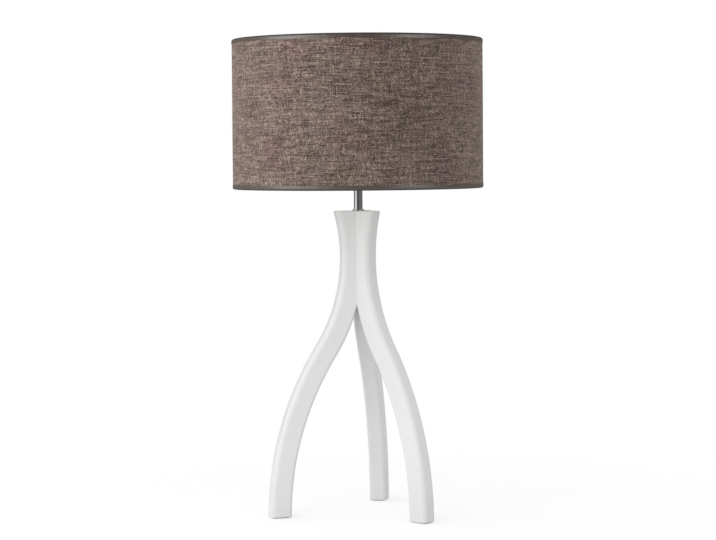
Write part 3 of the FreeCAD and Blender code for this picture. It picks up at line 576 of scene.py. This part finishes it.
def make_cloth():
    low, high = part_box("shade_fabric")
    radius = high.x
    width = high.z - low.z
    round_length = FULL_TURN * radius
    length = round_length + CLOTH_LAP

    def spot(along, up):
        heading = CLOTH_SEAM + along / radius
        share = up / width
        swell = 2 + math.sin(3 * heading + 0.7) + math.sin(7 * heading + 5 * share + 1.9)
        ripple = CLOTH_RIPPLE / 4 * swell * math.sin(math.pi * share)
        rise = climb(along, round_length, CLOTH_THICK + LAP_PLAY)
        return on_drum(radius + ripple + rise, heading, low.z + up)

    cloth = roll_sheet("shade_cloth", length, width, CLOTH_GRID, spot)
    thicken(cloth, CLOTH_THICK)
    finish_mesh(cloth, "shade", "shade_cloth")
    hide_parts("shade_fabric")
    return cloth


def make_tape(name, node, hoop, way):
    """A tape folded over a rim: way is 1 for the upper rim and -1 for the lower."""
    low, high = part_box(node)
    hoop_low, hoop_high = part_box(hoop)
    edge = high.z if way > 0 else low.z
    radius = high.x
    fold = abs(edge - (hoop_low.z + hoop_high.z) / 2)
    hem = high.z - low.z - fold
    arc = math.pi * fold
    width = hem * 2 + arc
    round_length = FULL_TURN * radius
    length = round_length + TAPE_LAP
    # The notches start on the fold, just below the level where the arms' wire comes in
    notch_end = hem + arc * NOTCH_FOLD

    def cut(heading, down):
        """Draw the inner hem back to the fold where an arm passes."""
        start = hem + arc / 2
        if way > 0 or down < start:
            return down
        nearest = min(abs(turn_from(heading, other)) for other in LEG_HEADINGS.values()) * radius
        full = 1 - smooth((nearest - NOTCH_HALF) / NOTCH_RAMP)
        short = start + (down - start) * (notch_end - start) / (width - start)
        return down + (short - down) * full

    def spot(along, down):
        heading = TAPE_SEAM + way * along / radius
        over_cloth = turn_from(heading, CLOTH_SEAM) * radius
        bump = smooth((over_cloth + LAP_RAMP) / LAP_RAMP) * smooth((CLOTH_LAP + LAP_RAMP - over_cloth) / LAP_RAMP)
        rise = (CLOTH_THICK + LAP_PLAY) * bump + climb(along, round_length, TAPE_THICK + LAP_PLAY)
        down = cut(heading, down)
        if down < hem:
            return on_drum(radius + rise, heading, edge - way * (fold + hem - down))
        if down < hem + arc:
            swing = (down - hem) / fold
            reach = math.cos(swing) * fold
            lift = rise * (0.5 + 0.5 * math.cos(swing))
            return on_drum(radius - fold + reach + lift, heading, edge - way * fold * (1 - math.sin(swing)))
        inward = down - hem - arc
        wave = 0.5 + 0.5 * math.sin(TAPE_PUCKERS * heading + math.sin(heading * 5) * 2)
        pucker = TAPE_PUCKER * wave * smooth(inward / hem)
        return on_drum(radius - 2 * fold - pucker, heading, edge - way * (fold + inward))

    tape = roll_sheet(name, length, width, TAPE_GRID, spot)
    thicken(tape, TAPE_THICK)
    finish_mesh(tape, "shade", "shade_tape")
    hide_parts(node)
    return tape


# Felt under the feet

def select_edges(wanted):
    """Select the edges of the mesh being edited that the test wants, and nothing else."""
    mesh = bmesh.from_edit_mesh(bpy.context.edit_object.data)
    for part in (*mesh.verts, *mesh.edges, *mesh.faces):
        part.select_set(False)
    for edge in mesh.edges:
        if wanted(edge):
            edge.select_set(True)
    bmesh.update_edit_mesh(bpy.context.edit_object.data)


def make_felt_pads():
    """The rear pad is shaped, and the other two are copies turned to their legs."""
    low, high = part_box("foot_pad_rear")
    size = high - low
    bpy.ops.mesh.primitive_cube_add(size=1, location=(low + high) / 2, scale=size)
    rear = bpy.context.object
    bpy.ops.object.transform_apply(location=True, rotation=True, scale=True)
    bpy.ops.object.mode_set(mode="EDIT")
    bpy.ops.mesh.select_mode(type="EDGE")
    select_edges(lambda edge: abs(edge.verts[0].co.z - edge.verts[1].co.z) > size.z / 2)
    bpy.ops.mesh.bevel(offset=FELT_CORNER, segments=6, profile=0.5, affect="EDGES")
    select_edges(lambda edge: any(abs(face.normal.z) > 0.9 for face in edge.link_faces))
    bpy.ops.mesh.bevel(offset=FELT_EDGE, segments=3, profile=0.5, affect="EDGES")
    bpy.ops.object.mode_set(mode="OBJECT")
    for side, heading in LEG_HEADINGS.items():
        pad = rear.copy()
        pad.data = rear.data.copy()
        pad.name = pad.data.name = "felt_" + side
        scene.collection.objects.link(pad)
        pad.data.transform(Matrix.Rotation(heading - LEG_HEADINGS["rear"], 4, "Z"))
        finish_mesh(pad, "root", "felt")
        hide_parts("foot_pad_" + side)
    bpy.data.objects.remove(rear)


# Floor, light and camera

def towards(angle):
    """The level direction from the lamp at an angle to the right of the camera."""
    facing = Vector((math.sin(CAMERA_SIDE), -math.cos(CAMERA_SIDE), 0))
    right = Vector((math.cos(CAMERA_SIDE), math.sin(CAMERA_SIDE), 0))
    return facing * math.cos(angle) + right * math.sin(angle)


def seen_rays(wiring):
    """1 for rays that show the surroundings themselves, 0 for those that light the lamp by them."""
    path = wiring.add("ShaderNodeLightPath").outputs
    seen = wiring.maths("MAXIMUM", path["Is Camera Ray"], path["Is Glossy Ray"])
    return wiring.maths("MAXIMUM", seen, path["Is Transmission Ray"])


def make_world():
    """White all round to look at, and a soft light that leans to one side and is weaker from overhead."""
    world = bpy.data.worlds.new("studio")
    world.use_nodes = True
    scene.world = world
    wiring = Wiring(world.node_tree)
    background = world.node_tree.nodes["Background"]
    background.inputs["Color"].default_value = (1, 1, 1, 1)
    outward = wiring.add("ShaderNodeTexCoord").outputs["Generated"]
    side = tuple(towards(AMBIENT_SIDE))
    lean = wiring.add("ShaderNodeVectorMath", {0: outward, 1: side}, operation="DOT_PRODUCT").outputs["Value"]
    height = wiring.add("ShaderNodeSeparateXYZ", {0: outward}).outputs["Z"]
    level = wiring.maths("MULTIPLY_ADD", height, -AMBIENT_DROP, AMBIENT)
    light = wiring.maths("MULTIPLY", level, wiring.maths("MULTIPLY_ADD", lean, AMBIENT_LEAN, 1.0))
    wiring.feed(background, "Strength", wiring.remap(seen_rays(wiring), 0.0, 1.0, light, 1.0))


def make_floor():
    """A pale floor that takes the lamp's shadow and turns to plain white further off."""
    bpy.ops.mesh.primitive_plane_add(size=FLOOR_SIZE, location=(0, 0, 0))
    floor = bpy.context.object
    floor.name = "studio_floor"
    material = bpy.data.materials.new("studio_floor")
    material.use_nodes = True
    tree = material.node_tree
    tree.nodes.clear()
    wiring = Wiring(tree)
    place = wiring.place()
    reach = wiring.add("ShaderNodeVectorMath", {0: place}, operation="LENGTH").outputs["Value"]
    far = wiring.remap(reach, *FLOOR_FADE, kind="SMOOTHSTEP")
    seen = seen_rays(wiring)
    share = wiring.maths("MULTIPLY", far, seen)
    matt = wiring.add("ShaderNodeBsdfDiffuse", {"Color": (FLOOR_GREY, FLOOR_GREY, FLOOR_GREY, 1)}).outputs[0]
    glow = wiring.maths("MULTIPLY", seen, FLOOR_GLOW)
    lift = wiring.add("ShaderNodeEmission", {"Color": (1, 1, 1, 1), "Strength": glow}).outputs[0]
    near = wiring.add("ShaderNodeAddShader", {0: matt, 1: lift}).outputs[0]
    white = wiring.add("ShaderNodeEmission", {"Color": (1, 1, 1, 1), "Strength": 1.0}).outputs[0]
    mixed = wiring.add("ShaderNodeMixShader", {0: share, 1: near, 2: white}).outputs[0]
    wiring.add("ShaderNodeOutputMaterial", {"Surface": mixed})
    floor.data.materials.append(material)


def make_soft_boxes(cloth, tapes):
    """Soft boxes: all but one light the shade or its tapes alone, as the light all round serves the base."""
    reach = {"everything": None}
    inside = [nodes[name] for name in INSIDE_SHADE]
    for group, pieces in (("shade", [cloth, *tapes, *inside]), ("tapes", tapes)):
        reach[group] = bpy.data.collections.new("lit_" + group)
        for piece in pieces:
            reach[group].objects.link(piece)
    for name, angle, distance, height, width, depth, power, lights, in_gloss in SOFT_BOXES:
        spot = towards(math.radians(angle)) * distance + Vector((0, 0, height))
        aim = Vector((0, 0, AIM_HEIGHT)) - spot
        bpy.ops.object.light_add(type="AREA", location=spot, rotation=aim.to_track_quat("-Z", "Y").to_euler())
        light = bpy.context.object
        light.name = name
        light.data.shape = "RECTANGLE"
        light.data.size, light.data.size_y = width, depth
        light.data.energy = power
        light.visible_camera = False
        light.visible_glossy = in_gloss
        light.light_linking.receiver_collection = reach[lights]


def hang_card(name, spot, facing, width, height, grey):
    """A flat card of one even grey that only reflections show."""
    bpy.ops.mesh.primitive_plane_add(size=1, location=spot, rotation=facing.to_track_quat("Z", "Y").to_euler())
    card = bpy.context.object
    card.name = name
    card.scale = (width, height, 1)
    material = bpy.data.materials.new(name)
    material.use_nodes = True
    material.node_tree.nodes.clear()
    wiring = Wiring(material.node_tree)
    glow = wiring.add("ShaderNodeEmission", {"Color": (grey, grey, grey, 1), "Strength": 1.0}).outputs[0]
    wiring.add("ShaderNodeOutputMaterial", {"Surface": glow})
    card.data.materials.append(material)
    card.visible_camera = card.visible_diffuse = card.visible_transmission = card.visible_shadow = False


def make_cards():
    """Flat cards round and over the set that only reflections show, so that gloss has dark and light bands."""
    for name, start, end, grey in CARDS:
        middle = math.radians(start + end) / 2
        half = math.radians(end - start) / 2
        spot = towards(middle) * CARD_REACH * math.cos(half) + Vector((0, 0, CARD_TOP / 2))
        hang_card(name, spot, -towards(middle), CARD_REACH * math.sin(half) * 2, CARD_TOP, grey)
    spot = Vector((0, 0, CARD_TOP))
    hang_card("card_ceiling", spot, Vector((0, 0, -1)), CARD_REACH * 2, CARD_REACH * 2, CEILING_GREY)


def make_camera():
    """The photo's view: a long lens at the height of the shade, shifted as the picture is cropped."""
    spot = towards(0) * CAMERA_DISTANCE + Vector((0, 0, CAMERA_HEIGHT))
    bpy.ops.object.camera_add(location=spot)
    camera = bpy.context.object
    camera.name = "camera"
    turn = Matrix.Rotation(CAMERA_SIDE, 4, "Z") @ Matrix.Rotation(math.pi / 2 - CAMERA_DROP, 4, "X")
    camera.matrix_world = Matrix.Translation(spot) @ turn @ Matrix.Rotation(CAMERA_ROLL, 4, "Z")
    camera.data.lens = CAMERA_LENS
    camera.data.sensor_width = SENSOR_WIDTH
    camera.data.shift_x = (PICTURE_WIDTH / 2 - AXIS_SPOT[0]) / PICTURE_WIDTH
    camera.data.shift_y = (AXIS_SPOT[1] - PICTURE_HEIGHT / 2) / PICTURE_WIDTH
    scene.camera = camera


dress_cad_nodes()
cloth = make_cloth()
top_tape = make_tape("top_tape", "top_trim", "top_ring", 1)
lower_tape = make_tape("lower_tape", "lower_trim", "lower_ring", -1)
make_felt_pads()
make_world()
make_floor()
make_soft_boxes(cloth, (top_tape, lower_tape))
make_cards()
make_camera()
scene.view_settings.view_transform = "Standard"
